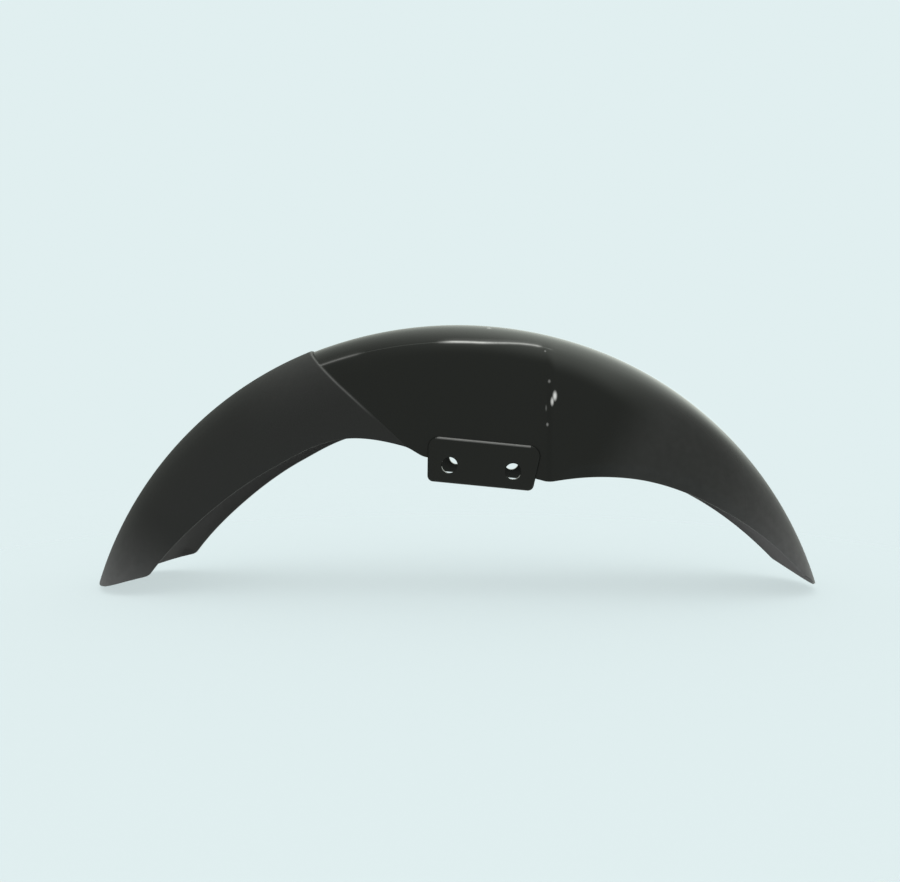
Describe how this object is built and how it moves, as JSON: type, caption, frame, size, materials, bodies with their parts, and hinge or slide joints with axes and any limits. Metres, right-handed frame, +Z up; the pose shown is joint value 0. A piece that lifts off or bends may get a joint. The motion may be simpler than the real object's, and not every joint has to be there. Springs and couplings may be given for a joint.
{
  "type": "motorcycle front mudguard",
  "caption": "Moulded front mudguard for a motorcycle: an arched channel over the wheel with recessed sides and a bolt-on pad beside each fork leg.",
  "frame": {"origin": "below the middle of the guard, on the plane that its rear end and its tip rest on", "axes": "+X to the front of the motorcycle, +Y to its left side, +Z up"},
  "size_m": [0.6394, 0.1476, 0.2342],
  "materials": {
    "moulding": "gloss black, with a finely textured matte rear part"
  },
  "bodies": {
    "root": {"mudguard": "moulding"}
  },
  "joints": []
}
